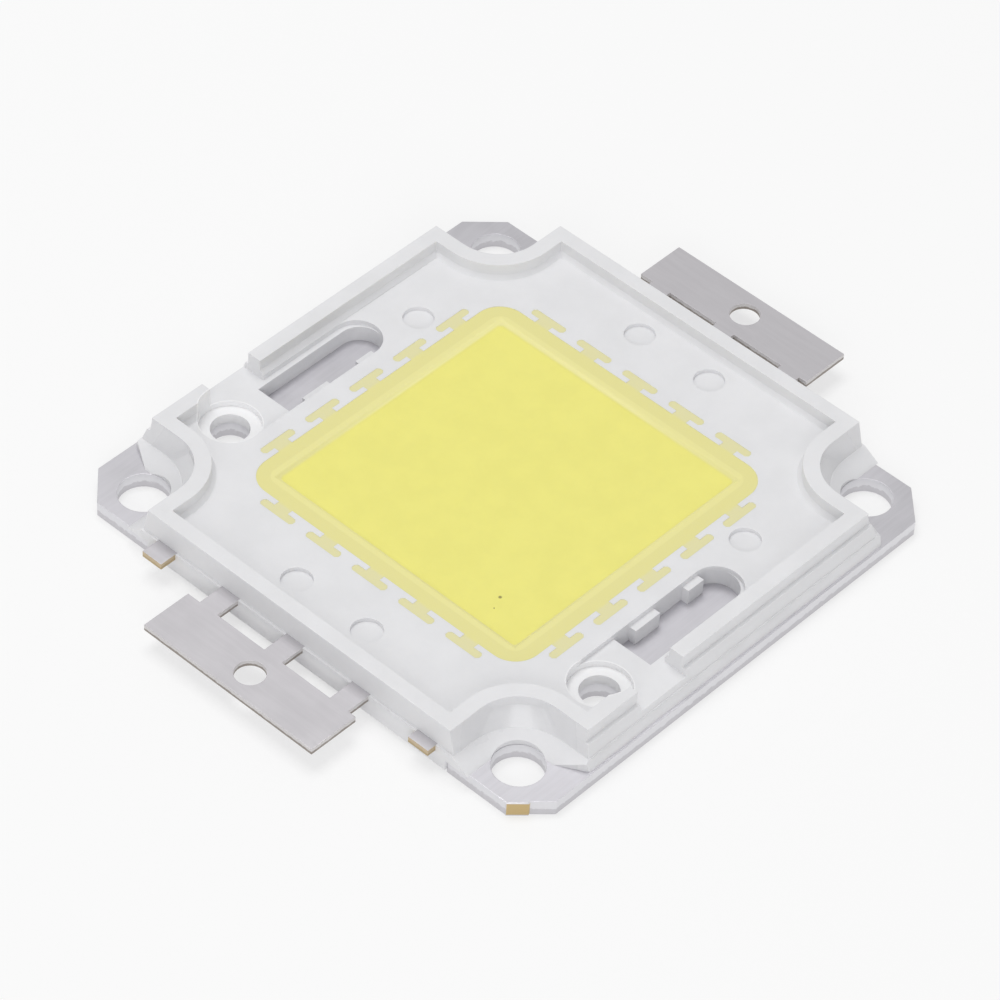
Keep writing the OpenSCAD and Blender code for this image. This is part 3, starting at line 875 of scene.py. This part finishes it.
def make_parting_flash():
    """Ragged fin of moulding compound along a straight parting line."""
    net, get, give = geometry_tree("Parting Flash", [
        ("Start", "NodeSocketVector", (0, 0, 0)), ("End", "NodeSocketVector", (0.01, 0, 0)),
        ("Reach", "NodeSocketFloat", 0.0001), ("Height", "NodeSocketFloat", 0.00005),
        ("Seed", "NodeSocketFloat", 1.0),
    ])
    line = net.fill(
        net.add("GeometryNodeCurvePrimitiveLine"), Start=get["Start"], End=get["End"]
    )
    fine = net.fill(net.add("GeometryNodeResampleCurve"), Count=160, Curve=line["Curve"])
    noise = net.add("ShaderNodeTexNoise")
    noise.noise_dimensions = "4D"
    place = net.add("GeometryNodeInputPosition").outputs["Position"]
    rough = net.fill(noise, Scale=420.0, Detail=3.0, Vector=place, W=get["Seed"])
    ragged = net.ramp(rough["Fac"], 0.3, 0.7, 0.25, 1.0)
    profile = net.fill(
        net.add("GeometryNodeCurvePrimitiveQuadrilateral"),
        Width=net.math("MULTIPLY", get["Reach"], 2.0), Height=get["Height"],
    )
    fin = net.fill(
        net.add("GeometryNodeCurveToMesh"), Curve=fine["Curve"],
        Profile_Curve=profile["Curve"], Scale=ragged, Fill_Caps=True,
    )
    return finish_tree(net, get, give, fin["Mesh"])


def grow(name, maker, slot, **values):
    """A plain mesh object grown by a maker's tree; _ stands for a space in a socket's name."""
    tree = built(maker)
    piece = new_object(name, bpy.data.meshes.new(name))
    modifier = piece.modifiers.new(tree.name, "NODES")
    modifier.node_group = tree
    sockets = {
        item.name: item.identifier
        for item in tree.interface.items_tree
        if item.item_type == "SOCKET" and item.in_out == "INPUT"
    }
    modifier[sockets["Material"]] = material_for(slot)
    for label, value in values.items():
        modifier[sockets[label.replace("_", " ")]] = value
    bake_modifiers(piece)
    return piece


# ---- pieces ----


class LedOperator:
    """What every piece of the module shares."""

    bl_options = {"REGISTER", "UNDO"}

    def execute(self, context):
        self.make(context.scene)
        return {"FINISHED"}


class LED_OT_base_plate(LedOperator, bpy.types.Operator):
    """Make the plated base plate with its stamped edges"""

    bl_idname = "led.base_plate"
    bl_label = "Base plate"

    def make(self, scene):
        sizes = scene.led_sizes
        plate = clean_copy("base_plate", "plated_plate")
        soften(plate, sizes.plate_edge)
        shade(plate)
        dress(plate, "plated_copper", "base_plate")


class LED_OT_moulding(LedOperator, bpy.types.Operator):
    """Make the white moulded frame with its softened edges"""

    bl_idname = "led.moulding"
    bl_label = "Moulded frame"

    def make(self, scene):
        sizes = scene.led_sizes
        moulding = clean_copy("frame", "moulded_frame")
        hole = Vector(corner_hole_centre()) * MM
        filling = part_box("filling")[1]

        def plain(edge):
            """Long, at or over the floor, and clear of the cut-outs and of the filling."""
            if edge.calc_length() < 3 * sizes.mould_edge:
                return False
            for vert in edge.verts:
                place = Vector((abs(vert.co.x), abs(vert.co.y)))
                if vert.co.z < filling.z or (place - hole).length < sizes.corner_reach:
                    return False
                if max(place) < filling.x + sizes.mould_edge:
                    return False
            return True

        soften(moulding, sizes.mould_edge, plain)
        shade(moulding, sharp_above=24)
        dress(moulding, "white_moulding", "frame")


class LED_OT_flash(LedOperator, bpy.types.Operator):
    """Make the thin flash along the mould's parting line on the long sides"""

    bl_idname = "led.flash"
    bl_label = "Parting flash"

    def make(self, scene):
        sizes = scene.led_sizes
        low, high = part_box("frame")
        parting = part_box("lead_positive")[1].z
        end = corner_hole_centre()[0] * MM - sizes.flash_end
        sides = (
            ("parting_flash_front", low.y + sizes.flash_root, 3.0),
            ("parting_flash_back", high.y - sizes.flash_root, 8.0),
        )
        for name, y, seed in sides:
            fin = grow(
                name, make_parting_flash, "white_moulding",
                Start=(-end, y, parting), End=(end, y, parting),
                Reach=sizes.flash_reach, Height=sizes.flash_height, Seed=seed,
            )
            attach(fin, "root")


class LED_OT_terminals(LedOperator, bpy.types.Operator):
    """Make the two stamped terminals and the cut tie-bar ends"""

    bl_idname = "led.terminals"
    bl_label = "Terminals and tie-bar ends"

    def make(self, scene):
        sizes = scene.led_sizes
        for node in ("lead_positive", "lead_negative", *("tie_stub_%d" % k for k in STUBS)):
            piece = clean_copy(node, node + "_strip")
            soften(piece, sizes.strip_edge)
            shade(piece)
            dress(piece, "lead_strip", node)


class LED_OT_filling(LedOperator, bpy.types.Operator):
    """Make the phosphor filling with its keyed teeth"""

    bl_idname = "led.filling"
    bl_label = "Phosphor filling"

    def make(self, scene):
        sizes = scene.led_sizes
        filling = clean_copy("filling", "phosphor_field")
        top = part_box("filling")[1].z

        def rim(edge):
            """On the rim of the dish, where the filling curves up to the ledge."""
            return all(
                v.co.z > top - 0.01 * MM
                and max(abs(v.co.x), abs(v.co.y)) < sizes.dish + sizes.filling_edge
                for v in edge.verts
            )

        soften(filling, sizes.filling_edge, rim, segments=3)
        shade(filling, sharp_above=60)
        dress(filling, "phosphor_silicone", "filling")


def string_measures(k):
    """Low and high corner of a string of dice, the width of a die and the dice's pitch."""
    low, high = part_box("die_string_%d" % k)
    width = high.y - low.y
    return low, high, width, (high.x - low.x - width) / (DICE - 1)


class LED_OT_dice(LedOperator, bpy.types.Operator):
    """Make the rows of dice with their bond pads"""

    bl_idname = "led.dice"
    bl_label = "Dice"

    def make(self, scene):
        sizes = scene.led_sizes
        for k in STRINGS:
            low, high, width, pitch = string_measures(k)
            row = grow(
                "dice_row_%d" % k, make_die_row, "led_die",
                Dice=DICE, Pitch=pitch, Row_Y=(low.y + high.y) / 2, Bottom=low.z,
                Width=width, Thickness=high.z - low.z, Pad=sizes.die_pad,
            )
            dress(row, "led_die", "die_string_%d" % k)


class LED_OT_wires(LedOperator, bpy.types.Operator):
    """Make the looped gold wires of each row of dice"""

    bl_idname = "led.wires"
    bl_label = "Bond wires"

    def make(self, scene):
        sizes = scene.led_sizes
        bar_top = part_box("lead_positive")[1].z
        for k in STRINGS:
            low, high, width, pitch = string_measures(k)
            row = grow(
                "wire_row_%d" % k, make_wire_row, "gold_wire",
                Dice=DICE, Pitch=pitch, Row_Y=(low.y + high.y) / 2, Die_Top=high.z,
                Pad_Reach=width * PAD_OUT, Rise=sizes.loop_rise, Wire=sizes.wire,
                Bar_X=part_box("bond_wires_%d" % k)[1].x - sizes.wire, Bar_Top=bar_top,
            )
            for polygon in row.data.polygons:
                polygon.use_smooth = True
            dress(row, "gold_wire", "bond_wires_%d" % k)


class LED_OT_stage(LedOperator, bpy.types.Operator):
    """Make the floor, the light and the camera"""

    bl_idname = "led.stage"
    bl_label = "Stage"

    def make(self, scene):
        settings = scene.led_stage
        self.floor(scene.led_colours)
        self.sky(settings.sky)
        self.lamp("key", settings.key, *KEY_LAMP)
        self.lamp("fill", settings.fill, *FILL_LAMP)
        self.camera(settings)

    def floor(self, colours):
        mesh = bpy.data.meshes.new("studio_floor")
        bm = bmesh.new()
        bmesh.ops.create_grid(bm, x_segments=8, y_segments=8, size=2.0)
        bm.to_mesh(mesh)
        bm.free()
        floor = new_object("studio_floor", mesh)
        mesh.materials.append(floor_material(colours))

    def sky(self, strength):
        world = bpy.data.worlds.new("studio")
        bpy.context.scene.world = world
        world.use_nodes = True
        back = next(n for n in world.node_tree.nodes if n.type == "BACKGROUND")
        back.inputs["Color"].default_value = (1, 1, 1, 1)
        back.inputs["Strength"].default_value = strength

    def lamp(self, name, power, place, width, height):
        data = bpy.data.lights.new(name, "AREA")
        data.shape = "RECTANGLE"
        data.size = width
        data.size_y = height
        data.energy = power
        lamp = new_object(name, data)
        lamp.location = place
        lamp.rotation_euler = (-Vector(place)).to_track_quat("-Z", "Y").to_euler()

    def camera(self, settings):
        data = bpy.data.cameras.new("view")
        data.sensor_width = 36.0
        data.lens = settings.lens
        data.clip_start = 0.01
        data.clip_end = 20.0
        camera = new_object("view", data)
        level = math.cos(settings.elevation)
        forward = Vector((
            math.sin(settings.heading) * level,
            math.cos(settings.heading) * level,
            -math.sin(settings.elevation),
        ))
        side = forward.cross(Vector((0, 0, 1))).normalized()
        side = Matrix.Rotation(-settings.roll, 3, forward) @ side
        up = side.cross(forward)
        aim = Vector((settings.aim_x, settings.aim_y, settings.aim_z))
        place = Matrix((side, up, -forward)).transposed().to_4x4()
        place.translation = aim - forward * settings.distance
        camera.matrix_world = place
        bpy.context.scene.camera = camera


class LED_PT_module(bpy.types.Panel):
    """The module's pieces and their sizes and colours"""

    bl_idname = "LED_PT_module"
    bl_label = "LED Module"
    bl_space_type = "VIEW_3D"
    bl_region_type = "UI"
    bl_category = "LED Module"

    def draw(self, context):
        for operator in PIECES:
            self.layout.operator(operator.bl_idname)
        scene = context.scene
        for group in (scene.led_sizes, scene.led_colours, scene.led_stage):
            box = self.layout.box()
            for name in group.bl_rna.properties.keys():
                if name not in ("rna_type", "name"):
                    box.prop(group, name)


PIECES = (LED_OT_base_plate, LED_OT_moulding, LED_OT_flash, LED_OT_terminals, LED_OT_filling,
          LED_OT_dice, LED_OT_wires, LED_OT_stage)
CLASSES = (ModuleSizes, ModuleColours, StageSettings, *PIECES, LED_PT_module)


def register():
    for cls in CLASSES:
        bpy.utils.register_class(cls)
    bpy.types.Scene.led_sizes = bpy.props.PointerProperty(type=ModuleSizes)
    bpy.types.Scene.led_colours = bpy.props.PointerProperty(type=ModuleColours)
    bpy.types.Scene.led_stage = bpy.props.PointerProperty(type=StageSettings)


def unregister():
    for name in ("led_sizes", "led_colours", "led_stage"):
        delattr(bpy.types.Scene, name)
    for cls in reversed(CLASSES):
        bpy.utils.unregister_class(cls)


def main():
    register()
    bpy.context.scene.view_settings.view_transform = "Standard"
    bpy.ops.led.base_plate()
    bpy.ops.led.moulding()
    bpy.ops.led.flash()
    bpy.ops.led.terminals()
    bpy.ops.led.filling()
    bpy.ops.led.dice()
    bpy.ops.led.wires()
    bpy.ops.led.stage()


if __name__ == "__main__":
    main()
